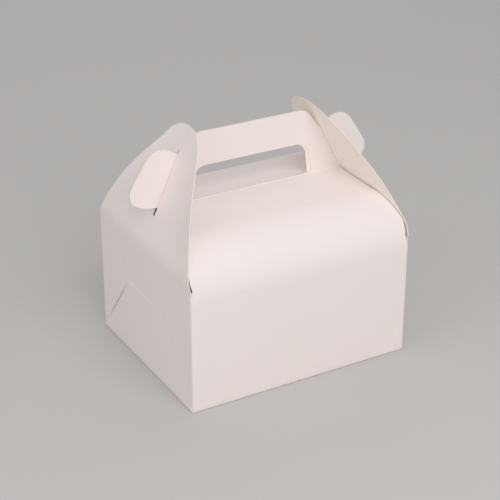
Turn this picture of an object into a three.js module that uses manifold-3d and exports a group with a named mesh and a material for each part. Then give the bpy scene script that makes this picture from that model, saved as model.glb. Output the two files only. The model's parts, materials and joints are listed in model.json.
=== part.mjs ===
// A gable box: a folded board carton whose two roof panels rise into a grip,
// held shut by two gable flaps that hook over the ears of the grip.
// Millimetres, +Z up, +X along the long walls, origin under the middle of the base.

import * as THREE from 'three';
import Module from 'manifold-3d';
import { mergeVertices } from 'three/addons/utils/BufferGeometryUtils.js';

// Board
const BOARD = 0.5;
const FOLD_RADIUS = 0.9;
const CORNER_RADIUS = 1.1;

// Body
const LENGTH = 160;
const WIDTH = 132;
const SHOULDER = 85;
const BEND_START = 76;
const BEND_RADIUS = 34;

// Grip: two board layers that stand up from the roof crease
const CREASE = 113;
const GRIP_TOP = 158.5;
const LAYER_GAP = 0.5;
const GRIP_SHOULDER_INSET = 40;
const GRIP_SHOULDER_RADIUS = 8;

// Hand hole through both layers of the grip, its ends inset from the end walls
const HOLE_SILL_INSET = 35;
const HOLE_HEAD_INSET = 37.4;
const HOLE_HEAD = 135.4;
const HOLE_HEAD_RADIUS = 9;
const HOLE_SILL_RADIUS = 1.5;

// Ears that stick out through the gable flaps: outline corners, out from the end
// wall and up from the shoulder, and how far along the flap their foot, their root
// and the notch above them lie
const EAR_CROWN = [-10.4, 70.6];
const EAR_CROWN_RADIUS = 12;
const EAR_TOE = [12, 36];
const EAR_TOE_RADIUS = 9;
const EAR_HEEL = [-2.5, 29.4];
const EAR_HEEL_RADIUS = 4;
const EAR_FOOT_REACH = 31;
const EAR_ROOT_REACH = 67.5;
const NOTCH_REACH = 66;

// Gable flaps, measured along the board from their hinge on the end wall
const LEFT_LEAN_DEGREES = 25;
const RIGHT_LEAN_DEGREES = 27.5;
const FLAP_BEND_RADIUS = 25;
const FLAP_LENGTH = 88.5;
const FLAP_TIP_HALF = 26;
const FLAP_TIP_START = 73;
const FLAP_BULGE = 2.2;
const SLIT_START = 24.6;
const SLIT_END = 70.6;
const SLIT_WIDTH = 2.4;

// The wings of a gable flap spring outwards from its middle, which the ear holds
const WING_SPRING = 4;
const WING_NARROWING = 0.73;

// Trapezoid flaps of the base, glued up outside the end walls
const TUCK_HEIGHT = 52.5;
const TUCK_TOP_HALF = 22.5;
const TUCK_TIP_RADIUS = 3;

// Glue tabs of the end walls, inside the back wall
const TAB_WIDTH = 16;
const TAB_TAPER = 5;

// Clearances
const HINGE_GAP = 0.35;
const FLAP_CLEARANCE = 0.35;

const ARC_STEPS = 14;
const BEND_STEPS = 6;
const LEAN_STEPS = 7;
const WING_STEPS = 20;
const WALL_COLOUR = 0xece2de;
const FLAP_COLOUR = 0xe9dfdb;

const wasm = await Module();
wasm.setup();

const solidOf = (geometry) => {
  geometry.deleteAttribute('normal');
  geometry.deleteAttribute('uv');
  const merged = mergeVertices(geometry, 1e-4);
  return new wasm.Manifold(new wasm.Mesh({
    numProp: 3,
    vertProperties: merged.attributes.position.array,
    triVerts: new Uint32Array(merged.index.array),
  }));
};

const extrude = (shape, depth, steps = 1) => new THREE.ExtrudeGeometry(
  shape,
  { depth, steps, bevelEnabled: false, curveSegments: ARC_STEPS },
);

// A section drawn in (y, z) and run from x = from to x = to
const alongX = (shape, from, to) => {
  const geometry = extrude(shape, to - from);
  geometry.applyMatrix4(new THREE.Matrix4().set(
    0, 0, 1, from,
    1, 0, 0, 0,
    0, 1, 0, 0,
    0, 0, 0, 1,
  ));
  return solidOf(geometry);
};

// An outline drawn in (x, z) and run from y = from to y = to
const geometryAlongY = (shape, from, to, steps) => {
  const geometry = extrude(shape, to - from, steps);
  geometry.applyMatrix4(new THREE.Matrix4().set(
    1, 0, 0, 0,
    0, 0, -1, to,
    0, 1, 0, 0,
    0, 0, 0, 1,
  ));
  return geometry;
};

const alongY = (shape, from, to) => solidOf(geometryAlongY(shape, from, to, 1));

const alongZ = (shape, from, to) => {
  const geometry = extrude(shape, to - from);
  geometry.translate(0, 0, from);
  return solidOf(geometry);
};

// A closed outline through corners [a, b, radius], each rounded by its radius
const roundedOutline = (corners) => {
  const shape = new THREE.Shape();
  const count = corners.length;
  corners.forEach(([a, b, radius = 0], index) => {
    const corner = new THREE.Vector2(a, b);
    const before = new THREE.Vector2(...corners[(index + count - 1) % count]);
    const after = new THREE.Vector2(...corners[(index + 1) % count]);
    const back = before.sub(corner).normalize();
    const ahead = after.sub(corner).normalize();
    const draw = index === 0 ? 'moveTo' : 'lineTo';
    if (radius === 0) {
      shape[draw](a, b);
      return;
    }
    const halfAngle = Math.acos(back.dot(ahead)) / 2;
    const reach = radius / Math.tan(halfAngle);
    const start = corner.clone().addScaledVector(back, reach);
    const end = corner.clone().addScaledVector(ahead, reach);
    const middle = back.clone().add(ahead).normalize();
    const centre = corner.clone().addScaledVector(middle, radius / Math.sin(halfAngle));
    const clockwise = back.cross(ahead) > 0;
    shape[draw](start.x, start.y);
    shape.absarc(
      centre.x, centre.y, radius,
      Math.atan2(start.y - centre.y, start.x - centre.x),
      Math.atan2(end.y - centre.y, end.x - centre.x),
      clockwise,
    );
  });
  shape.closePath();
  return shape;
};

const mirrored = (corners) => corners.map(([a, b, radius]) => [-a, b, radius]).reverse();

// The tangent from the crease to the shoulder bend gives the slope of the roof
const layerFace = LAYER_GAP / 2 + BOARD;
const bendCentre = new THREE.Vector2(WIDTH / 2 - BEND_RADIUS, BEND_START);
const creaseReach = new THREE.Vector2(layerFace, CREASE).sub(bendCentre);
const roofTangent = creaseReach.angle() - Math.acos(BEND_RADIUS / creaseReach.length());
const roofSlope = Math.PI / 2 - roofTangent;

// One half of the wrap's section, `inset` inside the outer face: from under the
// base, up the long wall, round the shoulder, up the roof and up the grip.
const wrapFace = (inset) => {
  const wall = WIDTH / 2 - inset;
  const grip = layerFace - inset;
  const bend = BEND_RADIUS - inset;
  const fold = Math.max(FOLD_RADIUS - inset, 0.2);
  const creaseFold = FOLD_RADIUS + inset;
  const foldCentre = grip + creaseFold;
  const roofAt = (y) => bendCentre.y + bend / Math.cos(roofSlope)
    + (bendCentre.x - y) * Math.tan(roofSlope);
  const foldCentreZ = roofAt(foldCentre) + creaseFold / Math.cos(roofSlope);
  const path = new THREE.Path();
  path.moveTo(0, inset);
  path.absarc(wall - fold, inset + fold, fold, -Math.PI / 2, 0, false);
  path.absarc(bendCentre.x, bendCentre.y, bend, 0, roofTangent, false);
  path.absarc(foldCentre, foldCentreZ, creaseFold, roofTangent - Math.PI, -Math.PI, true);
  path.lineTo(grip, GRIP_TOP);
  return path.getPoints(ARC_STEPS);
};

const flipped = (points) => points.map(({ x, y }) => new THREE.Vector2(-x, y)).reverse();

// The whole wrap is one strip of board: grip, roof, wall, base, wall, roof, grip
const wrapSection = () => {
  const outer = wrapFace(0);
  const inner = wrapFace(BOARD);
  const outside = [...flipped(outer), ...outer.slice(1)];
  const inside = [...flipped(inner), ...inner.slice(1)];
  return new THREE.Shape([...outside, ...inside.reverse()]);
};

// The space under the outer face, up to the shoulder, closes the end walls
const endWallShape = () => {
  const outer = wrapFace(BOARD / 2).filter((point) => point.y < SHOULDER);
  const top = Math.sqrt((BEND_RADIUS - BOARD / 2) ** 2 - (SHOULDER - BEND_START) ** 2);
  const half = [...outer, new THREE.Vector2(bendCentre.x + top, SHOULDER)];
  return new THREE.Shape([...flipped(half), ...half.slice(1)]);
};

// A point of the gable flap's section in (x, z), `reach` along the board from the
// hinge and `inset` inside the outer face: a soft bend, then straight at its lean.
const flapPoint = (lean, inset, reach) => {
  const turn = Math.min(reach / FLAP_BEND_RADIUS, lean);
  const straight = Math.max(reach - FLAP_BEND_RADIUS * lean, 0);
  const radius = FLAP_BEND_RADIUS - inset;
  const centre = LENGTH / 2 - FLAP_BEND_RADIUS;
  return new THREE.Vector2(
    centre + radius * Math.cos(turn) - straight * Math.sin(turn),
    SHOULDER + HINGE_GAP + radius * Math.sin(turn) + straight * Math.cos(turn),
  );
};

// One face of the gable flap's section, from the hinge out to `length`
const flapFace = (lean, inset, length, leanSteps) => {
  const bent = FLAP_BEND_RADIUS * lean;
  const face = [];
  for (let step = 0; step < BEND_STEPS; step += 1) {
    face.push(flapPoint(lean, inset, bent * step / BEND_STEPS));
  }
  for (let step = 0; step <= leanSteps; step += 1) {
    face.push(flapPoint(lean, inset, bent + (length - bent) * step / leanSteps));
  }
  return face;
};

// Half of the flap's outline: a slightly bowed side and a blunt round tip
const flapEdge = () => {
  const base = new THREE.Vector2(WIDTH / 2, 0);
  const shoulder = new THREE.Vector2(FLAP_TIP_HALF, FLAP_TIP_START);
  const tip = new THREE.Vector2(0, FLAP_LENGTH);
  const run = shoulder.clone().sub(base).normalize();
  const bow = base.clone().add(shoulder).multiplyScalar(0.5)
    .addScaledVector(new THREE.Vector2(run.y, -run.x), 2 * FLAP_BULGE);
  const climb = shoulder.clone().sub(bow).normalize();
  const rise = (FLAP_LENGTH - FLAP_TIP_START) * 0.72;
  const edge = new THREE.Path();
  edge.moveTo(base.x, base.y);
  edge.quadraticCurveTo(bow.x, bow.y, shoulder.x, shoulder.y);
  edge.bezierCurveTo(
    shoulder.x + climb.x * rise, shoulder.y + climb.y * rise,
    FLAP_TIP_HALF * 0.46, tip.y, tip.x, tip.y,
  );
  return edge.getPoints(ARC_STEPS);
};

const flapOutline = (lean) => {
  const half = flapEdge().map(({ x, y }) => new THREE.Vector2(x, flapPoint(lean, 0, y).y));
  half[0].y = SHOULDER;
  const outline = new THREE.Shape([...half, ...flipped(half).slice(1)]);
  const slitHalf = SLIT_WIDTH / 2;
  const low = flapPoint(lean, 0, SLIT_START).y + slitHalf;
  const high = flapPoint(lean, 0, SLIT_END).y - slitHalf;
  const slit = new THREE.Path();
  slit.absarc(0, low, slitHalf, Math.PI, 2 * Math.PI, false);
  slit.absarc(0, high, slitHalf, 0, Math.PI, false);
  slit.closePath();
  outline.holes.push(slit);
  return outline;
};

// How far a point of the flap springs out: most at half height, along the edges
const wingSpring = (y, rise) => {
  const half = WIDTH / 2 * (1 - WING_NARROWING * rise);
  const spread = Math.min(Math.abs(y) / half, 1.2);
  return WING_SPRING * spread ** 2 * Math.sin(Math.PI * rise);
};

const gableFlap = (side, degrees) => {
  const lean = THREE.MathUtils.degToRad(degrees);
  const faces = [
    ...flapFace(lean, 0, FLAP_LENGTH + BOARD, LEAN_STEPS),
    ...flapFace(lean, BOARD, FLAP_LENGTH + BOARD, LEAN_STEPS).reverse(),
  ].map(({ x, y }) => new THREE.Vector2(side * x, y));
  const strip = geometryAlongY(new THREE.Shape(faces), -WIDTH / 2, WIDTH / 2, WING_STEPS);
  const points = strip.attributes.position;
  const foot = SHOULDER + HINGE_GAP;
  const height = flapPoint(lean, 0, FLAP_LENGTH).y - foot;
  for (let index = 0; index < points.count; index += 1) {
    const rise = THREE.MathUtils.clamp((points.getZ(index) - foot) / height, 0, 1);
    const spring = wingSpring(points.getY(index), rise);
    points.setX(index, points.getX(index) + side * spring);
  }
  const outline = alongX(flapOutline(lean), -LENGTH, LENGTH);
  return solidOf(strip).intersect(outline);
};

// The wrap seen from the front on one side: wall, roof edge under the flap,
// ear, notch for the flap above its slit, and the rounded shoulder of the grip.
const wrapSide = (degrees) => {
  const lean = THREE.MathUtils.degToRad(degrees);
  const underFlap = flapFace(lean, BOARD + FLAP_CLEARANCE, EAR_FOOT_REACH, 1);
  const root = flapPoint(lean, -FLAP_CLEARANCE, EAR_ROOT_REACH);
  const notch = flapPoint(lean, BOARD + FLAP_CLEARANCE, NOTCH_REACH);
  const end = LENGTH / 2;
  const earCorner = ([out, up], radius) => [end + out, SHOULDER + up, radius];
  return [
    [end, 0],
    [end, SHOULDER],
    ...underFlap.map(({ x, y }) => [x, y]),
    earCorner(EAR_HEEL, EAR_HEEL_RADIUS),
    earCorner(EAR_TOE, EAR_TOE_RADIUS),
    earCorner(EAR_CROWN, EAR_CROWN_RADIUS),
    [root.x, root.y],
    [notch.x, notch.y],
    [end - GRIP_SHOULDER_INSET, GRIP_TOP, GRIP_SHOULDER_RADIUS],
  ];
};

const wrapOutline = () => {
  const right = wrapSide(RIGHT_LEAN_DEGREES);
  const left = mirrored(wrapSide(LEFT_LEAN_DEGREES));
  const outline = roundedOutline([...right, ...left]);
  const sill = LENGTH / 2 - HOLE_SILL_INSET;
  const head = LENGTH / 2 - HOLE_HEAD_INSET;
  outline.holes.push(roundedOutline([
    [-sill, CREASE, HOLE_SILL_RADIUS],
    [sill, CREASE, HOLE_SILL_RADIUS],
    [head, HOLE_HEAD, HOLE_HEAD_RADIUS],
    [-head, HOLE_HEAD, HOLE_HEAD_RADIUS],
  ]));
  return outline;
};

// The upright corners of the body are rounded folds
const bodyEnvelope = () => {
  const x = LENGTH / 2;
  const y = WIDTH / 2;
  const footprint = roundedOutline([
    [-x, -y, CORNER_RADIUS],
    [x, -y, CORNER_RADIUS],
    [x, y, CORNER_RADIUS],
    [-x, y, CORNER_RADIUS],
  ]);
  const above = roundedOutline([[-LENGTH, -WIDTH], [LENGTH, -WIDTH], [LENGTH, WIDTH], [-LENGTH, WIDTH]]);
  return alongZ(footprint, 0, SHOULDER).add(alongZ(above, SHOULDER - BOARD, 2 * GRIP_TOP));
};

const endWall = (side) => {
  const outside = side * LENGTH / 2;
  const inside = side * (LENGTH / 2 - BOARD);
  return alongX(endWallShape(), Math.min(outside, inside), Math.max(outside, inside));
};

const glueTab = (side) => {
  const fold = LENGTH / 2 - BOARD / 2;
  const free = fold - TAB_WIDTH;
  const corners = [
    [fold, BOARD, 0],
    [fold, BEND_START, 0],
    [free, BEND_START - TAB_TAPER, 0],
    [free, BOARD + TAB_TAPER, 0],
  ];
  const outline = side > 0 ? corners : mirrored(corners);
  const face = WIDTH / 2 - BOARD;
  return alongY(roundedOutline(outline), face - BOARD, face + BOARD / 2);
};

// The tuck folds up from the base and lies flat on the end wall
const tuckFlap = (side) => {
  const foot = WIDTH / 2 - CORNER_RADIUS;
  const outline = roundedOutline([
    [-foot, 0, 0],
    [foot, 0, 0],
    [TUCK_TOP_HALF, TUCK_HEIGHT, TUCK_TIP_RADIUS],
    [-TUCK_TOP_HALF, TUCK_HEIGHT, TUCK_TIP_RADIUS],
  ]);
  const outer = LENGTH / 2 + BOARD;
  const inner = LENGTH / 2 - BOARD;
  const plate = alongX(outline, Math.min(side * outer, side * inner), Math.max(side * outer, side * inner));
  const foldSection = new THREE.Shape();
  foldSection.moveTo(0, 0);
  foldSection.absarc(outer - FOLD_RADIUS, FOLD_RADIUS, FOLD_RADIUS, -Math.PI / 2, 0, false);
  foldSection.lineTo(outer, SHOULDER);
  foldSection.lineTo(0, SHOULDER);
  const points = foldSection.getPoints(ARC_STEPS).map(({ x, y }) => new THREE.Vector2(side * x, y));
  return plate.intersect(alongY(new THREE.Shape(points), -WIDTH, WIDTH));
};

const carton = () => {
  const wrap = alongX(wrapSection(), -LENGTH, LENGTH)
    .intersect(alongY(wrapOutline(), -WIDTH, WIDTH))
    .intersect(bodyEnvelope());
  return [-1, 1].reduce(
    (body, side) => body
      .add(endWall(side).intersect(bodyEnvelope()))
      .add(glueTab(side))
      .add(tuckFlap(side)),
    wrap,
  );
};

const meshOf = (name, solid, colour) => {
  const { vertProperties, triVerts } = solid.getMesh();
  const geometry = new THREE.BufferGeometry();
  geometry.setAttribute('position', new THREE.BufferAttribute(vertProperties, 3));
  geometry.setIndex(new THREE.BufferAttribute(triVerts, 1));
  geometry.computeVertexNormals();
  const material = new THREE.MeshStandardMaterial({ color: colour, roughness: 0.55, metalness: 0 });
  const mesh = new THREE.Mesh(geometry, material);
  mesh.name = name;
  return mesh;
};

const gableBox = new THREE.Group();
gableBox.add(meshOf('carton', carton(), WALL_COLOUR));
gableBox.add(meshOf('gable_flap_left', gableFlap(-1, LEFT_LEAN_DEGREES), FLAP_COLOUR));
gableBox.add(meshOf('gable_flap_right', gableFlap(1, RIGHT_LEAN_DEGREES), FLAP_COLOUR));

export default gableBox;
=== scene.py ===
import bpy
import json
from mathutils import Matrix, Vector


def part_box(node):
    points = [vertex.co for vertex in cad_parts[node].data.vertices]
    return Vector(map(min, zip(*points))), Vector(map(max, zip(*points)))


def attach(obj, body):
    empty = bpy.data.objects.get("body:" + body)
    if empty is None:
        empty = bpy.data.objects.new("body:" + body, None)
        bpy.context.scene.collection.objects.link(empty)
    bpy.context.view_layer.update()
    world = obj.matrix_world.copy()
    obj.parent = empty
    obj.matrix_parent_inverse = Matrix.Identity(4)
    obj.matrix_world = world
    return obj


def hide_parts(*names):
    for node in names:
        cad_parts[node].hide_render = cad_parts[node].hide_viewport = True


bl_info = {
    "name": "Gable box",
    "version": (1, 0, 0),
    "blender": (4, 5, 0),
    "location": "3D View > Sidebar > Gable Box",
    "description": "Models a folded board gable box, its finish and its stage",
    "category": "Add Mesh",
}

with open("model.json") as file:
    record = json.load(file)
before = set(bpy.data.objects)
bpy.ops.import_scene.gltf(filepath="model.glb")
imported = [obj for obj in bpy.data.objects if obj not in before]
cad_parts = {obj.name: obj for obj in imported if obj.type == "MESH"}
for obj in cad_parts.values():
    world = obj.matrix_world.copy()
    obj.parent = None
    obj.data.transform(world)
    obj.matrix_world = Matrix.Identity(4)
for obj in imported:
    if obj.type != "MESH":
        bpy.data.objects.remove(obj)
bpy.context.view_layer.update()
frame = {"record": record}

import json
import math

import bmesh
import bpy
from mathutils import Vector

MM = 0.001
NEAR = 0.01 * MM  # Slack when points are picked by their place
GLUE_GAP = 0.02 * MM  # Left between glued faces, so that they don't flicker
SOFT_ANGLE = math.radians(35)  # Folds flatter than this are shaded soft
MIDDLE = (0, 0, 0)
GRIP_ROWS = 12  # Rows of cells up the grip
CLEAR_OF_ENDS = 0.9965  # The roof's width against the long walls', to clear the end walls

# The hinges and the carton's own box give the sizes that the pieces share
HINGE = {joint["child"]: Vector(joint["pos_m"]) for joint in frame["record"]["behaviour"]["joints"]}
END = HINGE["right_flap"].x
SHOULDER = HINGE["right_flap"].z
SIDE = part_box("carton")[1].y
GRIP_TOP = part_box("carton")[1].z
EAR_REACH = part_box("carton")[1].x


class GableBoxSettings(bpy.types.PropertyGroup):
    """Sizes and colours of the gable box"""

    board: bpy.props.FloatProperty(
        name="Board", description="Thickness of the board", default=0.5 * MM, unit="LENGTH")
    corner: bpy.props.FloatProperty(
        name="Corner", description="Outer radius of the upright and bottom folds",
        default=1.0 * MM, unit="LENGTH")
    bend_start: bpy.props.FloatProperty(
        name="Bend start", description="Height at which the long walls start to curve in",
        default=76 * MM, unit="LENGTH")
    bend_radius: bpy.props.FloatProperty(
        name="Bend radius", description="Radius of the soft shoulder bend",
        default=34 * MM, unit="LENGTH")
    crease: bpy.props.FloatProperty(
        name="Crease", description="Height of the crease between roof and grip",
        default=113 * MM, unit="LENGTH")
    crease_radius: bpy.props.FloatProperty(
        name="Crease radius", description="Radius of the crease between roof and grip",
        default=0.8 * MM, unit="LENGTH")
    layer_gap: bpy.props.FloatProperty(
        name="Layer gap", description="Gap between the two layers of the grip",
        default=0.1 * MM, unit="LENGTH")

    grip_shoulder_inset: bpy.props.FloatProperty(
        name="Grip shoulder inset", description="From the end wall to the grip's sharp corner",
        default=40 * MM, unit="LENGTH")
    grip_shoulder_radius: bpy.props.FloatProperty(
        name="Grip shoulder radius", description="Radius of the grip's top corners",
        default=8 * MM, unit="LENGTH")
    hole_sill_inset: bpy.props.FloatProperty(
        name="Hole sill inset", description="From the end wall to the hand hole, at its foot",
        default=34.2 * MM, unit="LENGTH")
    hole_head_inset: bpy.props.FloatProperty(
        name="Hole head inset", description="From the end wall to the hand hole, at its top",
        default=38.6 * MM, unit="LENGTH")
    hole_head: bpy.props.FloatProperty(
        name="Hole head", description="Height of the hand hole's top edge",
        default=135.4 * MM, unit="LENGTH")
    hole_head_radius: bpy.props.FloatProperty(
        name="Hole head radius", description="Radius of the hand hole's top corners",
        default=9 * MM, unit="LENGTH")

    ear_crown: bpy.props.FloatVectorProperty(
        name="Ear crown", description="Upper ear corner, out from the end wall and up from the shoulder",
        size=2, default=(-10.4 * MM, 70.6 * MM), unit="LENGTH")
    ear_crown_radius: bpy.props.FloatProperty(
        name="Ear crown radius", description="Radius of the upper ear corner",
        default=12 * MM, unit="LENGTH")
    ear_toe: bpy.props.FloatVectorProperty(
        name="Ear toe", description="Outer ear corner, out from the end wall and up from the shoulder",
        size=2, default=(12 * MM, 36 * MM), unit="LENGTH")
    ear_toe_radius: bpy.props.FloatProperty(
        name="Ear toe radius", description="Radius of the outer ear corner",
        default=9 * MM, unit="LENGTH")
    ear_heel: bpy.props.FloatVectorProperty(
        name="Ear heel", description="Lower ear corner, out from the end wall and up from the shoulder",
        size=2, default=(-2.5 * MM, 29.4 * MM), unit="LENGTH")
    ear_heel_radius: bpy.props.FloatProperty(
        name="Ear heel radius", description="Radius of the lower ear corner",
        default=4 * MM, unit="LENGTH")
    ear_foot_reach: bpy.props.FloatProperty(
        name="Ear foot", description="How far along the flap the ear's foot lies",
        default=31 * MM, unit="LENGTH")
    ear_root_reach: bpy.props.FloatProperty(
        name="Ear root", description="How far along the flap the ear's upper root lies",
        default=67.5 * MM, unit="LENGTH")
    notch_reach: bpy.props.FloatProperty(
        name="Notch", description="How far along the flap the notch above the ear lies",
        default=66 * MM, unit="LENGTH")

    left_lean: bpy.props.FloatProperty(
        name="Left lean", description="Lean of the left gable flap",
        default=math.radians(25), subtype="ANGLE")
    right_lean: bpy.props.FloatProperty(
        name="Right lean", description="Lean of the right gable flap",
        default=math.radians(27.5), subtype="ANGLE")
    flap_bend_radius: bpy.props.FloatProperty(
        name="Flap bend radius", description="Radius of the soft bend above the hinge",
        default=25 * MM, unit="LENGTH")
    flap_length: bpy.props.FloatProperty(
        name="Flap length", description="Length of a gable flap along the board",
        default=88.5 * MM, unit="LENGTH")
    flap_tip_half: bpy.props.FloatProperty(
        name="Flap tip half", description="Half width of a gable flap where its tip begins",
        default=26 * MM, unit="LENGTH")
    flap_tip_start: bpy.props.FloatProperty(
        name="Flap tip start", description="How far along the board the flap's tip begins",
        default=73 * MM, unit="LENGTH")
    flap_bulge: bpy.props.FloatProperty(
        name="Flap bulge", description="How far the flap's side edges bow out in its own plane",
        default=2.2 * MM, unit="LENGTH")
    flap_clearance: bpy.props.FloatProperty(
        name="Flap clearance", description="Gap between a gable flap and the roof under it",
        default=0.3 * MM, unit="LENGTH")
    flap_blunt: bpy.props.FloatProperty(
        name="Flap bluntness", description="How blunt a gable flap's tip is",
        default=0.46, min=0, max=1, subtype="FACTOR")
    left_tip_drop: bpy.props.FloatProperty(
        name="Left tip drop", description="How much sooner the left flap's tip ends",
        default=1.8 * MM, unit="LENGTH")
    left_back_bulge: bpy.props.FloatProperty(
        name="Left back bulge", description="How far the left flap's back edge bows out",
        default=3.6 * MM, unit="LENGTH")
    left_back_half: bpy.props.FloatProperty(
        name="Left back half", description="Half width of the left flap's tip at the back",
        default=21.4 * MM, unit="LENGTH")
    left_back_blunt: bpy.props.FloatProperty(
        name="Left back bluntness", description="How blunt the left flap's tip is at the back",
        default=0.5, min=0, max=1, subtype="FACTOR")
    left_back_upright: bpy.props.FloatProperty(
        name="Left back upright", description="How upright the left tip's back edge starts",
        default=0.45, min=0, max=1, subtype="FACTOR")
    right_back_half: bpy.props.FloatProperty(
        name="Right back half", description="Half width of the right flap's tip at the back",
        default=30.4 * MM, unit="LENGTH")
    right_back_blunt: bpy.props.FloatProperty(
        name="Right back bluntness", description="How blunt the right flap's tip is at the back",
        default=0.5, min=0, max=1, subtype="FACTOR")
    right_back_upright: bpy.props.FloatProperty(
        name="Right back upright", description="How upright the right tip's back edge starts",
        default=0.3, min=0, max=1, subtype="FACTOR")
    wing_spring: bpy.props.FloatProperty(
        name="Wing spring", description="How far the flap's wings spring out from its middle",
        default=4 * MM, unit="LENGTH")
    wing_narrowing: bpy.props.FloatProperty(
        name="Wing narrowing", description="Share of its width that the flap loses up to its tip",
        default=0.73, min=0, max=1, subtype="FACTOR")
    wing_most: bpy.props.FloatProperty(
        name="Wing most", description="Largest share of the half width that the spring counts",
        default=1.2, min=1, max=2, subtype="FACTOR")
    right_wing_hold: bpy.props.FloatProperty(
        name="Right wing hold", description="Share of the spring left high on the right flap's back wing",
        default=0.1, min=0, max=1, subtype="FACTOR")
    slit_start: bpy.props.FloatProperty(
        name="Slit start", description="How far along the board the ear's slit starts",
        default=24.6 * MM, unit="LENGTH")
    slit_end: bpy.props.FloatProperty(
        name="Slit end", description="How far along the board the ear's slit ends",
        default=70.6 * MM, unit="LENGTH")
    left_slit_width: bpy.props.FloatProperty(
        name="Left slit width", description="Width of the left ear's slit",
        default=2.2 * MM, unit="LENGTH")
    right_slit_width: bpy.props.FloatProperty(
        name="Right slit width", description="Width of the right ear's slit",
        default=1.4 * MM, unit="LENGTH")
    split: bpy.props.FloatProperty(
        name="Split", description="Height at which the upright corners split",
        default=81.5 * MM, unit="LENGTH")
    slot_width: bpy.props.FloatProperty(
        name="Slot width", description="Width of the open slot beside the shoulder, at its foot",
        default=1.2 * MM, unit="LENGTH")
    slot_height: bpy.props.FloatProperty(
        name="Slot height", description="How far above the shoulder the slot closes",
        default=10 * MM, unit="LENGTH")
    layer_shift: bpy.props.FloatProperty(
        name="Layer shift", description="How far the back layer reaches into the hand hole",
        default=3.2 * MM, unit="LENGTH")

    tuck_height: bpy.props.FloatProperty(
        name="Tuck height", description="Height of the glued tuck on an end wall",
        default=52.5 * MM, unit="LENGTH")
    tuck_top_half: bpy.props.FloatProperty(
        name="Tuck top half", description="Half width of the tuck's top edge",
        default=22.5 * MM, unit="LENGTH")
    tuck_lift: bpy.props.FloatProperty(
        name="Tuck lift", description="How far the tuck's loose back edge lifts off the wall",
        default=0.9 * MM, unit="LENGTH")
    tab_width: bpy.props.FloatProperty(
        name="Glue tab width", description="Width of the glue tabs inside the back wall",
        default=16 * MM, unit="LENGTH")

    cell: bpy.props.FloatProperty(
        name="Cell", description="Size of the mesh's cells on the flat panels",
        default=4 * MM, unit="LENGTH")

    coat_colour: bpy.props.FloatVectorProperty(
        name="Coat", description="Coated face of the board", subtype="COLOR", size=3,
        min=0, max=1, default=(0.90, 0.82, 0.80))
    back_colour: bpy.props.FloatVectorProperty(
        name="Back", description="Uncoated back of the board", subtype="COLOR", size=3,
        min=0, max=1, default=(0.94, 0.865, 0.81))
    cut_colour: bpy.props.FloatVectorProperty(
        name="Cut edge", description="Cut edge of the board", subtype="COLOR", size=3,
        min=0, max=1, default=(0.88, 0.78, 0.68))
    floor_colour: bpy.props.FloatVectorProperty(
        name="Floor", description="Colour of the floor", subtype="COLOR", size=3,
        min=0, max=1, default=(0.58, 0.567, 0.555))


# Outlines and sections

def rounded(corners, steps=10):
    """Points round a closed outline whose corners (a, b, radius) are rounded."""
    points = []
    for index, (a, b, radius) in enumerate(corners):
        corner = Vector((a, b))
        back = (Vector(corners[index - 1][:2]) - corner).normalized()
        ahead = (Vector(corners[(index + 1) % len(corners)][:2]) - corner).normalized()
        if radius == 0:
            points.append(corner)
            continue
        half = math.acos(max(-1, min(1, back.dot(ahead)))) / 2
        centre = corner + (back + ahead).normalized() * radius / math.sin(half)
        start = corner + back * radius / math.tan(half) - centre
        end = corner + ahead * radius / math.tan(half) - centre
        turn = start.angle_signed(end)
        for step in range(steps + 1):
            angle = -turn * step / steps
            points.append(centre + Vector((
                start.x * math.cos(angle) - start.y * math.sin(angle),
                start.x * math.sin(angle) + start.y * math.cos(angle),
            )))
    return points


def mirrored(corners):
    return [(-a, b, radius) for a, b, radius in reversed(corners)]


def flap_point(s, lean, inset, reach):
    """A point of the gable flap's section in (x, z), on the right side."""
    turn = min(reach / s.flap_bend_radius, lean)
    straight = max(reach - s.flap_bend_radius * lean, 0)
    radius = s.flap_bend_radius - inset
    centre = END - s.flap_bend_radius
    return Vector((
        centre + radius * math.cos(turn) - straight * math.sin(turn),
        SHOULDER + radius * math.sin(turn) + straight * math.cos(turn),
    ))


def spring(s, lean, y, z):
    """How far out the gable flap's wing stands at a place on it."""
    rise = (z - SHOULDER) / (flap_point(s, lean, 0, s.flap_length).y - SHOULDER)
    rise = min(1, max(0, rise))
    spread = min(abs(y) / (SIDE * (1 - s.wing_narrowing * rise)), s.wing_most)
    return s.wing_spring * spread ** 2 * math.sin(math.pi * rise)


def roof_depth(s, z):
    """How far the curved roof is from the middle at a height."""
    arc_share = 0.985  # Of its radius, before the roof runs on straight
    arc_top = s.bend_start + arc_share * s.bend_radius
    arc = SIDE - s.bend_radius + math.sqrt(max(0, s.bend_radius ** 2 - (z - s.bend_start) ** 2))
    slope = max(0, (s.crease - z) / (s.crease - arc_top)) * (SIDE - s.bend_radius)
    return arc if z < arc_top else slope


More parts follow.
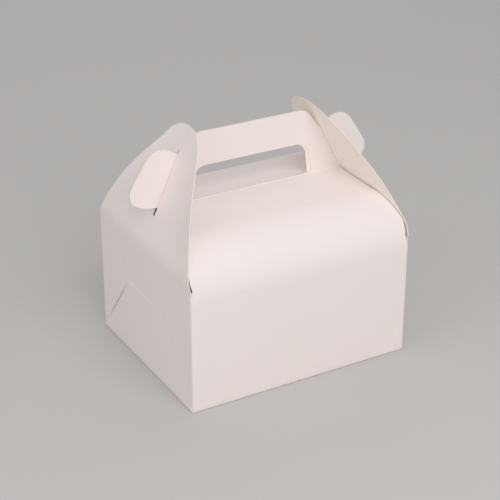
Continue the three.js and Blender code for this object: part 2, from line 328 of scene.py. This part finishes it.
def wrap_side(s, lean):
    """The carton's outline on the right, seen from the front, with the ear."""
    under = s.board + s.flap_clearance
    steps = 25
    roof_edge = []
    for step in range(steps + 1):
        edge = flap_point(s, lean, under, s.ear_foot_reach * step / steps)
        slot = s.slot_width * max(0, 1 - (edge.y - SHOULDER) / s.slot_height)
        edge.x += spring(s, lean, roof_depth(s, edge.y), edge.y) - slot
        roof_edge.append((*edge, 0))
    root = flap_point(s, lean, -s.flap_clearance, s.ear_root_reach)
    notch = flap_point(s, lean, under, s.notch_reach)
    clear = END + 2 * s.board
    rim = 0.1 * MM
    return [
        (clear, -s.board, 0),
        (clear, SHOULDER + rim, 0),
        (roof_edge[0][0], SHOULDER + rim, 0),
        *roof_edge[1:],
        (END + s.ear_heel[0], SHOULDER + s.ear_heel[1], s.ear_heel_radius),
        (END + s.ear_toe[0], SHOULDER + s.ear_toe[1], s.ear_toe_radius),
        (END + s.ear_crown[0], SHOULDER + s.ear_crown[1], s.ear_crown_radius),
        (*root, 0),
        (*notch, 0),
        (END - s.grip_shoulder_inset, GRIP_TOP - NEAR, s.grip_shoulder_radius),
    ]


def hole_outline(s, shift):
    """The hand hole's outline. Its right side is moved in by the shift, less so at the top."""
    sill = END - s.hole_sill_inset
    sill_radius = 1.5 * MM
    head_share = 0.4
    head = END - s.hole_head_inset
    sill_height = s.crease + s.crease_radius / 2
    return rounded([
        (-sill, sill_height, sill_radius),
        (sill - shift, sill_height, sill_radius),
        (head - shift * head_share, s.hole_head, s.hole_head_radius),
        (-head, s.hole_head, s.hole_head_radius),
    ])


def flap_edge(s, length, bulge, tip_half, blunt, upright):
    """Half of a gable flap's edge on the flat board, from its foot to its tip."""
    base = Vector((SIDE, -MM))
    start = Vector((SIDE, 0))
    shoulder = Vector((tip_half, s.flap_tip_start))
    tip = Vector((0, length))
    run = (shoulder - start).normalized()
    bow = (start + shoulder) / 2 + Vector((run.y, -run.x)) * 2 * bulge
    climb_share = 0.72  # Of the tip's height, before its edge turns in
    climb = (shoulder - bow).normalized().lerp(Vector((0, 1)), upright)
    climb *= (length - s.flap_tip_start) * climb_share
    ahead = Vector((tip_half * blunt, length))
    steps = 16
    half = [base]
    for step in range(steps + 1):
        t = step / steps
        half.append(start * (1 - t) ** 2 + bow * 2 * t * (1 - t) + shoulder * t ** 2)
    for step in range(1, steps + 1):
        t = step / steps
        half.append(shoulder * (1 - t) ** 3 + (shoulder + climb) * 3 * t * (1 - t) ** 2
                    + ahead * 3 * t ** 2 * (1 - t) + tip * t ** 3)
    return half


def flap_outline(s, lean, length, back_bulge, back_half, back_blunt, back_upright):
    """The gable flap's outline in (y, z): bowed side edges and a blunt round tip."""
    flat = flap_edge(s, length, back_bulge, back_half, back_blunt, back_upright)
    front = flap_edge(s, length, s.flap_bulge, s.flap_tip_half, s.flap_blunt, 0)
    flat += [Vector((-p.x, p.y)) for p in reversed(front[:-1])]
    return [Vector((p.x, flap_point(s, lean, 0, p.y).y if p.y > 0 else SHOULDER - MM)) for p in flat]


def slit_outline(s, lean, width):
    """An upright slit with round ends."""
    half = width / 2
    low = flap_point(s, lean, 0, s.slit_start).y
    high = flap_point(s, lean, 0, s.slit_end).y
    corners = [(-half, low), (half, low), (half, high), (-half, high)]
    almost = half * 0.999  # A hair less than half, so that no two points fall together
    return rounded([(*corner, almost) for corner in corners], 6)


def wrap_path(s):
    """The wrap's outer face in (y, z) from the shoulder, over the roof, to the grip's top."""
    face = s.layer_gap / 2 + s.board
    centre = Vector((SIDE - s.bend_radius, s.bend_start))
    reach = Vector((face, s.crease)) - centre
    angle = math.atan2(reach.y, reach.x)
    tangent = angle - math.acos(s.bend_radius / reach.length)
    slope = math.pi / 2 - tangent
    first = math.asin((s.split - s.bend_start) / s.bend_radius)
    arc_rows, roof_rows, fold_rows = 26, 8, 5
    path = []
    for step in range(arc_rows + 1):
        turn = first + (tangent - first) * step / arc_rows
        path.append(centre + Vector((math.cos(turn), math.sin(turn))) * s.bend_radius)
    fold_y = face + s.crease_radius
    roof_z = centre.y + s.bend_radius / math.cos(slope) + (centre.x - fold_y) * math.tan(slope)
    fold = Vector((fold_y, roof_z + s.crease_radius / math.cos(slope)))
    foot = fold + Vector((math.cos(tangent - math.pi), math.sin(tangent - math.pi))) * s.crease_radius
    roof = path[-1]
    for step in range(1, roof_rows + 1):
        path.append(roof.lerp(foot, step / roof_rows))
    for step in range(1, fold_rows + 1):
        turn = tangent - math.pi - tangent * step / fold_rows
        path.append(fold + Vector((math.cos(turn), math.sin(turn))) * s.crease_radius)
    grip_foot = path[-1]
    for step in range(1, GRIP_ROWS + 1):
        path.append(grip_foot.lerp(Vector((face, GRIP_TOP)), step / GRIP_ROWS))
    return path


# Modelling by hand: selections, cuts and modifiers

def select_only(piece):
    bpy.ops.object.select_all(action="DESELECT")
    piece.select_set(True)
    bpy.context.view_layer.objects.active = piece


def begin_edit(piece, mode="EDGE"):
    select_only(piece)
    bpy.ops.object.mode_set(mode="EDIT")
    bpy.ops.mesh.select_mode(type=mode)
    bpy.ops.mesh.select_all(action="SELECT")


def end_edit():
    bpy.ops.object.mode_set(mode="OBJECT")


def pick_edges(piece, test):
    """Selects the edges whose two ends both pass the test."""
    mesh = bmesh.from_edit_mesh(piece.data)
    bpy.ops.mesh.select_all(action="DESELECT")
    for edge in mesh.edges:
        edge.select_set(all(test(vert.co) for vert in edge.verts))
    mesh.select_flush_mode()
    bmesh.update_edit_mesh(piece.data)


def pick_faces(piece, test):
    mesh = bmesh.from_edit_mesh(piece.data)
    bpy.ops.mesh.select_all(action="DESELECT")
    for face in mesh.faces:
        face.select_set(test(face))
    bmesh.update_edit_mesh(piece.data)


def cut_grid(axis, low, high, cell):
    """Cuts all that is in edit mode into cells along one axis."""
    count = max(2, round((high - low) / cell))
    normal = [0, 0, 0]
    normal[axis] = 1
    for step in range(1, count):
        place = [0, 0, 0]
        place[axis] = low + (high - low) * step / count
        bpy.ops.mesh.select_all(action="SELECT")
        bpy.ops.mesh.bisect(plane_co=place, plane_no=normal)


def extrude(offset):
    bpy.ops.mesh.extrude_region_move(TRANSFORM_OT_translate={"value": offset})


def narrow(share):
    """Narrows the selection from front to back, about the middle."""
    bpy.ops.transform.resize(value=(1, share, 1), center_override=MIDDLE)


def apply(piece, kind, **values):
    """Adds a modifier to a piece and applies it."""
    select_only(piece)
    modifier = piece.modifiers.new(kind.title(), kind)
    for name, value in values.items():
        setattr(modifier, name, value)
    bpy.ops.object.modifier_apply(modifier=modifier.name)


def thicken(piece, s):
    """Gives a sheet the board's thickness, inwards, with its back and cut edges finished."""
    apply(piece, "SOLIDIFY", thickness=s.board, offset=-1, use_even_offset=True,
          material_offset=1, material_offset_rim=2)


def cutter(points, axis, half_depth, middle=0):
    """A prism over an outline, (x, z) along Y or (y, z) along X, to cut board with."""
    bpy.ops.object.select_all(action="DESELECT")
    bpy.ops.mesh.primitive_circle_add(vertices=len(points), radius=1, fill_type="NGON")
    prism = bpy.context.object
    start = middle + half_depth
    for vert, point in zip(prism.data.vertices, points):
        vert.co = (point.x, start, point.y) if axis == 1 else (start, point.x, point.y)
    begin_edit(prism, "FACE")
    offset = [0, 0, 0]
    offset[axis] = -2 * half_depth
    extrude(offset)
    bpy.ops.mesh.select_all(action="SELECT")
    bpy.ops.mesh.normals_make_consistent(inside=False)
    end_edit()
    prism.data.materials.append(bpy.data.materials["cut_edge"])
    return prism


def cut(piece, prism, operation):
    apply(piece, "BOOLEAN", object=prism, operation=operation, solver="EXACT",
          material_mode="TRANSFER")
    bpy.data.objects.remove(prism, do_unlink=True)


def push(piece, weight, distance):
    """Moves a piece's points to the right by a weight from 0 to 1 at each."""
    group = piece.vertex_groups.new(name="push")
    for vert in piece.data.vertices:
        group.add([vert.index], max(0, min(1, weight(vert.co))), "REPLACE")
    apply(piece, "DISPLACE", strength=distance, mid_level=0, direction="X",
          vertex_group=group.name)
    piece.vertex_groups.clear()


def finish_board(piece, name, body, node):
    """Names a piece, gives it soft shading, hides the part that it stands for, and says what it rides on.
    """
    piece.name = name
    piece.data.name = name
    select_only(piece)
    bpy.ops.object.shade_smooth_by_angle(angle=SOFT_ANGLE)
    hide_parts(node)
    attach(piece, body)


def add_board_materials(piece):
    """The slots in the order that thicken expects: face, back and rim."""
    for name in ("coated_board", "board_back", "cut_edge"):
        piece.data.materials.append(bpy.data.materials[name])


def board_plane(x, y, rotation, location=MIDDLE):
    """A flat sheet, x by y before it is turned, to fold and extrude from."""
    bpy.ops.object.select_all(action="DESELECT")
    bpy.ops.mesh.primitive_plane_add(size=1, rotation=rotation, location=location)
    sheet = bpy.context.object
    sheet.scale = (x, y, 1)
    bpy.ops.object.transform_apply(location=True, rotation=True, scale=True)
    add_board_materials(sheet)
    return sheet


# Finishes

def board_noise(material, coords, scale, detail, roughness=0.5):
    """Noise in the board's own space, as a socket from 0 to 1."""
    noise = material.node_tree.nodes.new("ShaderNodeTexNoise")
    noise.inputs["Scale"].default_value = scale
    noise.inputs["Detail"].default_value = detail
    noise.inputs["Roughness"].default_value = roughness
    material.node_tree.links.new(coords.outputs["Object"], noise.inputs["Vector"])
    return noise.outputs["Fac"]


def about(material, socket, middle, spread):
    """Stretches a socket from 0 to 1 to lie as far as the spread on each side of the middle."""
    stretch = material.node_tree.nodes.new("ShaderNodeMapRange")
    stretch.inputs["To Min"].default_value = middle - spread
    stretch.inputs["To Max"].default_value = middle + spread
    material.node_tree.links.new(socket, stretch.inputs["Value"])
    return stretch.outputs["Result"]


def board_material(name, colour, roughness, grain, mottle):
    """Board with a fine grain, faint mottling and soft unevenness."""
    material = bpy.data.materials.new(name)
    material.use_nodes = True
    nodes, links = material.node_tree.nodes, material.node_tree.links
    shader = nodes["Principled BSDF"]
    shader.inputs["IOR"].default_value = 1.45
    coords = nodes.new("ShaderNodeTexCoord")
    clouds = board_noise(material, coords, scale=28, detail=3)
    specks = board_noise(material, coords, scale=420, detail=2)
    fibres = board_noise(material, coords, scale=1600, detail=4, roughness=0.6)

    tint = nodes.new("ShaderNodeMix")
    tint.data_type = "RGBA"
    tint.inputs["A"].default_value = (*(channel * (1 - mottle) for channel in colour), 1)
    tint.inputs["B"].default_value = (*(min(1, channel * (1 + mottle)) for channel in colour), 1)
    links.new(clouds, tint.inputs["Factor"])
    speckled = nodes.new("ShaderNodeVectorMath")
    speckled.operation = "SCALE"
    links.new(tint.outputs["Result"], speckled.inputs["Vector"])
    links.new(about(material, specks, 1, 1.6 * mottle), speckled.inputs["Scale"])
    links.new(speckled.outputs["Vector"], shader.inputs["Base Color"])

    links.new(about(material, fibres, roughness, 0.06), shader.inputs["Roughness"])
    bump = nodes.new("ShaderNodeBump")
    bump.inputs["Strength"].default_value = grain
    bump.inputs["Distance"].default_value = 0.05 * MM
    links.new(fibres, bump.inputs["Height"])
    links.new(bump.outputs["Normal"], shader.inputs["Normal"])
    return material


# Operators

class GABLEBOX_OT_materials(bpy.types.Operator):
    """Make the board's three finishes: coated face, uncoated back and cut edge"""

    bl_idname = "gablebox.materials"
    bl_label = "Board finishes"

    def execute(self, context):
        s = context.scene.gable_box
        board_material("coated_board", s.coat_colour, roughness=0.62, grain=0.14, mottle=0.012)
        board_material("board_back", s.back_colour, roughness=0.75, grain=0.3, mottle=0.03)
        board_material("cut_edge", s.cut_colour, roughness=0.85, grain=0.4, mottle=0.04)
        return {"FINISHED"}


class GABLEBOX_OT_wrap(bpy.types.Operator):
    """Model the base, walls, roof and grip as one folded sheet"""

    bl_idname = "gablebox.wrap"
    bl_label = "Carton"

    def execute(self, context):
        s = context.scene.gable_box
        path = wrap_path(s)
        wrap = self.tray(s)
        self.raise_walls(s, wrap)
        self.raise_ends(s, wrap, path)
        self.run_over_roof(s, wrap, path)
        self.grow_ears(s, wrap, path)
        end_edit()
        thicken(wrap, s)
        self.trim(s, wrap)
        finish_board(wrap, "carton_sheet", "carton", "carton")
        return {"FINISHED"}

    def tray(self, s):
        """The base and the upright part of the walls, with their folds."""
        bpy.ops.object.select_all(action="DESELECT")
        bpy.ops.mesh.primitive_cube_add(
            size=1, location=(0, 0, s.bend_start / 2), scale=(2 * END, 2 * SIDE, s.bend_start))
        bpy.ops.object.transform_apply(location=True, rotation=True, scale=True)
        wrap = bpy.context.object
        add_board_materials(wrap)
        begin_edit(wrap, "FACE")
        pick_faces(wrap, lambda face: face.normal.z > 0.9)
        bpy.ops.mesh.delete(type="ONLY_FACE")
        bpy.ops.mesh.select_mode(type="EDGE")
        pick_edges(wrap, lambda co: co.z > s.bend_start - NEAR)
        bpy.ops.mesh.select_all(action="INVERT")
        bpy.ops.mesh.bevel(offset=s.corner, offset_type="OFFSET", segments=4, affect="EDGES",
                           clamp_overlap=False)
        flat_x, flat_y = END - s.corner, SIDE - s.corner
        cut_grid(0, -flat_x, flat_x, s.cell)
        cut_grid(1, -flat_y, flat_y, s.cell)
        cut_grid(2, s.corner, s.bend_start, s.cell)
        return wrap

    def raise_walls(self, s, wrap):
        """The four walls rise together to where the corners split, the long ones curving in."""
        centre = SIDE - s.bend_radius
        last = math.asin((s.split - s.bend_start) / s.bend_radius)
        steps = 4
        pick_edges(wrap, lambda co: co.z > s.bend_start - NEAR)
        for step in range(steps):
            low, high = last * step / steps, last * (step + 1) / steps
            extrude((0, 0, s.bend_radius * (math.sin(high) - math.sin(low))))
            before, after = (centre + s.bend_radius * math.cos(turn) for turn in (low, high))
            narrow(after / before)

    def raise_ends(self, s, wrap, path):
        """The end walls go straight up to the gable flaps' folds, corners and all."""
        flat_x = END - s.corner
        for side in (-1, 1):
            pick_edges(wrap, lambda co: co.z > s.split - NEAR and side * co.x > flat_x - NEAR)
            for _ in range(2):
                extrude((0, 0, (SHOULDER - s.split) / 2))
                narrow(math.sqrt(SIDE / path[0].x))

    def run_over_roof(self, s, wrap, path):
        """Each long wall runs on over the roof and up the grip."""
        flat_x = END - s.corner
        for side in (-1, 1):
            pick_edges(wrap, lambda co: abs(co.z - s.split) < NEAR and abs(co.x) < flat_x + NEAR
                       and side * co.y > path[0].x - NEAR)
            for start, end in zip(path, path[1:]):
                extrude((0, side * (end.x - start.x), end.y - start.y))
                if start is path[0]:
                    bpy.ops.transform.resize(value=(CLEAR_OF_ENDS, 1, 1), center_override=MIDDLE)

    def grow_ears(self, s, wrap, path):
        """The ears grow out of the grip's sides, with spare board for the outline."""
        grip_foot = path[-1 - GRIP_ROWS].y
        root = (END - s.corner) * CLEAR_OF_ENDS
        steps = 3
        for side in (-1, 1):
            pick_edges(wrap, lambda co: side * co.x > root - NEAR and co.z > grip_foot - NEAR)
            for _ in range(steps):
                extrude((side * (EAR_REACH - root + MM) / steps, 0, 0))

    def trim(self, s, wrap):
        """One outline cuts the whole sheet, and the hand hole goes through each layer."""
        outline = rounded([*wrap_side(s, s.right_lean), *mirrored(wrap_side(s, s.left_lean))])
        cut(wrap, cutter(outline, 1, SIDE + MM), "INTERSECT")
        layer = 6 * MM
        cut(wrap, cutter(hole_outline(s, 0), 1, layer, -layer), "DIFFERENCE")
        cut(wrap, cutter(hole_outline(s, s.layer_shift), 1, layer, layer), "DIFFERENCE")


class GABLEBOX_OT_tucks(bpy.types.Operator):
    """Model the two tucks glued up outside the end walls"""

    bl_idname = "gablebox.tucks"
    bl_label = "Tucks"

    def execute(self, context):
        s = context.scene.gable_box
        for side, name in ((-1, "left"), (1, "right")):
            finish_board(self.tuck(s, side), "tuck_" + name, "carton", "carton")
            finish_board(self.lip(s, side), "tuck_lip_" + name, "carton", "carton")
        return {"FINISHED"}

    def tuck(self, s, side):
        """The panel that is folded up from the base and glued to the end wall."""
        rows = 18
        foot = SIDE - s.corner
        first = s.tuck_height / rows
        tuck = board_plane(
            first, 2 * foot, rotation=(0, side * math.pi / 2, 0),
            location=(side * (END + s.board + GLUE_GAP), 0, s.corner + first / 2))
        begin_edit(tuck)
        cut_grid(1, -foot, foot, s.cell)

        def half_at(height):
            return foot + (s.tuck_top_half - foot) * height / s.tuck_height

        height = s.corner + first
        pick_edges(tuck, lambda co: co.z > height - NEAR)
        narrow(half_at(height) / foot)
        step = (s.tuck_height - height) / rows
        for _ in range(rows):
            extrude((0, 0, step))
            narrow(half_at(height + step) / half_at(height))
            height += step

        # The fold runs down and in under the base, and ends a step short of level
        pick_edges(tuck, lambda co: co.z < s.corner + NEAR)
        fold_steps = 4
        for step in range(fold_steps - 1):
            low, high = (math.pi / 2 * part / fold_steps for part in (step, step + 1))
            extrude((side * s.corner * (math.cos(high) - math.cos(low)), 0,
                     -(s.corner - GLUE_GAP) * (math.sin(high) - math.sin(low))))
        end_edit()
        thicken(tuck, s)

        # The front edge is pressed flush into the wall
        press_width = 16 * MM
        press_foot, press_fade = 0.6 * MM, 2 * MM

        def sink(co):
            flush = min(1, max(0, 1 - (half_at(max(co.z, 0)) + co.y) / press_width))
            return flush * min(1, max(0, (co.z - press_foot) / press_fade))

        push(tuck, sink, -side * (s.board - GLUE_GAP))
        return tuck

    def lip(self, s, side):
        """The wall's board that stands out behind the tuck's back edge."""
        foot = Vector((SIDE - 4 * MM, 3 * MM))
        head = Vector((s.tuck_top_half + 0.6 * MM, s.tuck_height + 0.8 * MM))
        length = (head - foot).length
        width, set_back = 14 * MM, 0.5 * MM
        lip = board_plane(length, width, rotation=(0, side * math.pi / 2, 0))
        begin_edit(lip)
        cut_grid(2, -length / 2, length / 2, 2 * MM)
        cut_grid(1, -width / 2, width / 2, 1.5 * MM)
        end_edit()
        thicken(lip, s)

        def rise(co):
            near_cut = max(0, 0.5 - co.y / width) ** 2
            ends = max(0, 1 - (2 * co.z / length) ** 2)
            return near_cut * ends ** 0.6

        push(lip, rise, side * s.tuck_lift)
        begin_edit(lip, "FACE")
        along = (head - foot).normalized()
        bpy.ops.transform.translate(value=(0, width / 2 + set_back, 0))
        turn = math.atan2(along.x, along.y)
        bpy.ops.transform.rotate(value=turn, orient_axis="X", center_override=MIDDLE)
        middle = (foot + head) / 2
        bpy.ops.transform.translate(value=(side * (END + GLUE_GAP), middle.x, middle.y))
        end_edit()
        flat = SIDE - s.corner
        panel = [Vector(corner) for corner in (
            (0, MM), (flat, MM), (flat, s.bend_start), (0, s.bend_start))]
        cut(lip, cutter(panel, 0, EAR_REACH), "INTERSECT")
        return lip


class GABLEBOX_OT_tabs(bpy.types.Operator):
    """Model the glue tabs inside the back corners"""

    bl_idname = "gablebox.tabs"
    bl_label = "Glue tabs"

    def execute(self, context):
        s = context.scene.gable_box
        low, high = s.corner, s.bend_start - s.corner
        middle = (low + high) / 2
        inside_back = SIDE - 1.1 * s.board
        free_edge = END - s.corner - s.tab_width
        free_share = 0.86  # The free edge's height against the fold's
        for side, name in ((-1, "glue_tab_left"), (1, "glue_tab_right")):
            tab = board_plane(
                s.tab_width, high - low, rotation=(-math.pi / 2, 0, 0),
                location=(side * (free_edge + s.tab_width / 2), inside_back, middle))
            begin_edit(tab)
            pick_edges(tab, lambda co: side * co.x < free_edge + NEAR)
            bpy.ops.transform.resize(value=(1, 1, free_share), center_override=(0, 0, middle))
            end_edit()
            thicken(tab, s)
            finish_board(tab, name, "carton", "carton")
        return {"FINISHED"}


class GABLEBOX_OT_flaps(bpy.types.Operator):
    """Model the two gable flaps with their slits and sprung wings"""

    bl_idname = "gablebox.flaps"
    bl_label = "Gable flaps"

    def execute(self, context):
        s = context.scene.gable_box
        outline = flap_outline(s, s.left_lean, s.flap_length - s.left_tip_drop, s.left_back_bulge,
                               s.left_back_half, s.left_back_blunt, s.left_back_upright)
        flap = self.flap(s, -1, s.left_lean, outline, s.left_slit_width)
        finish_board(flap, "flap_sheet_left", "left_flap", "gable_flap_left")
        outline = flap_outline(s, s.right_lean, s.flap_length, s.flap_bulge,
                               s.right_back_half, s.right_back_blunt, s.right_back_upright)
        flap = self.flap(s, 1, s.right_lean, outline, s.right_slit_width)
        finish_board(flap, "flap_sheet_right", "right_flap", "gable_flap_right")
        return {"FINISHED"}

    def flap(self, s, side, lean, outline, slit_width):
        """A sheet bent along the flap's section, cut to its outline and slit, then sprung."""
        row = 3 * MM
        bent = s.flap_bend_radius * lean
        straight = s.flap_length + MM - bent
        bent_rows, straight_rows = 8, round((s.flap_length - bent) / row)
        reaches = [bent * step / bent_rows for step in range(bent_rows + 1)]
        reaches += [bent + straight * step / straight_rows for step in range(1, straight_rows + 1)]
        path = [flap_point(s, lean, 0, reach) for reach in reaches]
        first = path[1].y - path[0].y
        flap = board_plane(
            first, 2 * SIDE, rotation=(0, side * math.pi / 2, 0),
            location=(side * END, 0, path[0].y + first / 2))
        begin_edit(flap)
        cut_grid(1, -SIDE, SIDE, row)
        pick_edges(flap, lambda co: co.z > path[1].y - NEAR)
        bpy.ops.transform.translate(value=(side * (path[1].x - path[0].x), 0, 0))
        for start, end in zip(path[1:], path[2:]):
            extrude((side * (end.x - start.x), 0, end.y - start.y))
        end_edit()
        thicken(flap, s)
        cut(flap, cutter(outline, 0, EAR_REACH + MM), "INTERSECT")
        cut(flap, cutter(slit_outline(s, lean, slit_width), 0, EAR_REACH + MM), "DIFFERENCE")

        # The right flap's back wing is held in above the crease
        most = s.wing_spring * s.wing_most ** 2
        hold_start, hold_fade = s.crease + 2 * MM, 20 * MM

        def weight(co):
            high = min(1, max(0, (co.z - hold_start) / hold_fade))
            held = 1 - (1 - s.right_wing_hold) * high if side > 0 and co.y > 0 else 1
            return held * spring(s, lean, co.y, co.z) / most

        push(flap, weight, side * most)
        return flap


class GABLEBOX_OT_stage(bpy.types.Operator):
    """Lay the floor, hang the lamps and set the camera"""

    bl_idname = "gablebox.stage"
    bl_label = "Stage"

    def execute(self, context):
        s = context.scene.gable_box
        self.floor(s)
        self.lamps(context)
        self.camera(context)
        context.scene.view_settings.view_transform = "Standard"
        return {"FINISHED"}

    def floor(self, s):
        bpy.ops.object.select_all(action="DESELECT")
        bpy.ops.mesh.primitive_plane_add(size=12, location=MIDDLE)
        floor = bpy.context.object
        floor.name = "floor"
        material = bpy.data.materials.new("floor")
        material.use_nodes = True
        shader = material.node_tree.nodes["Principled BSDF"]
        shader.inputs["Base Color"].default_value = (*s.floor_colour, 1)
        shader.inputs["Roughness"].default_value = 0.9
        floor.data.materials.append(material)

    def lamps(self, context):
        world = bpy.data.worlds.new("studio")
        context.scene.world = world
        world.use_nodes = True
        sky = world.node_tree.nodes["Background"]
        sky.inputs["Color"].default_value = (1, 0.985, 0.98, 1)
        sky.inputs["Strength"].default_value = 0.525
        box_middle = Vector((0, 0, 0.07))
        for name, place, size, power in (
            ("front", (-0.1, -0.95, 0.8), 0.9, 6.0),
            ("fill", (-1.3, -0.5, 0.8), 1.2, 3.2),
            ("top", (0.0, 0.1, 1.6), 1.2, 0.7),
            ("back", (0.5, 1.2, 0.8), 1.2, 1.5),
        ):
            bpy.ops.object.light_add(type="AREA", location=place)
            lamp = bpy.context.object
            lamp.name = name
            lamp.data.size = size
            lamp.data.energy = power
            aim = box_middle - Vector(place)
            lamp.rotation_euler = aim.to_track_quat("-Z", "Y").to_euler()

    def camera(self, context):
        azimuth, elevation = math.radians(-29.8), math.radians(26.6)
        distance = 933.98 * MM
        target = Vector((-1.29, 0, 66.58)) * MM
        back = Vector((math.sin(azimuth) * math.cos(elevation),
                       -math.cos(azimuth) * math.cos(elevation), math.sin(elevation)))
        bpy.ops.object.camera_add(location=target + back * distance)
        camera = bpy.context.object
        camera.rotation_euler = (-back).to_track_quat("-Z", "Y").to_euler()
        camera.data.sensor_width = 36
        camera.data.lens = 100.8
        camera.data.clip_end = 50
        context.scene.camera = camera


class GABLEBOX_PT_panel(bpy.types.Panel):
    """Lists the steps that make the gable box"""

    bl_idname = "GABLEBOX_PT_panel"
    bl_label = "Gable Box"
    bl_space_type = "VIEW_3D"
    bl_region_type = "UI"
    bl_category = "Gable Box"

    def draw(self, context):
        for step in STEPS:
            self.layout.operator(step.bl_idname)


STEPS = (
    GABLEBOX_OT_materials,
    GABLEBOX_OT_wrap,
    GABLEBOX_OT_tucks,
    GABLEBOX_OT_tabs,
    GABLEBOX_OT_flaps,
    GABLEBOX_OT_stage,
)


def register():
    for item in (GableBoxSettings, *STEPS, GABLEBOX_PT_panel):
        bpy.utils.register_class(item)
    bpy.types.Scene.gable_box = bpy.props.PointerProperty(type=GableBoxSettings)


def unregister():
    del bpy.types.Scene.gable_box
    for item in reversed((GableBoxSettings, *STEPS, GABLEBOX_PT_panel)):
        bpy.utils.unregister_class(item)


def main():
    register()
    bpy.ops.gablebox.materials()
    bpy.ops.gablebox.wrap()
    bpy.ops.gablebox.tucks()
    bpy.ops.gablebox.tabs()
    bpy.ops.gablebox.flaps()
    bpy.ops.gablebox.stage()


if __name__ == "__main__":
    main()
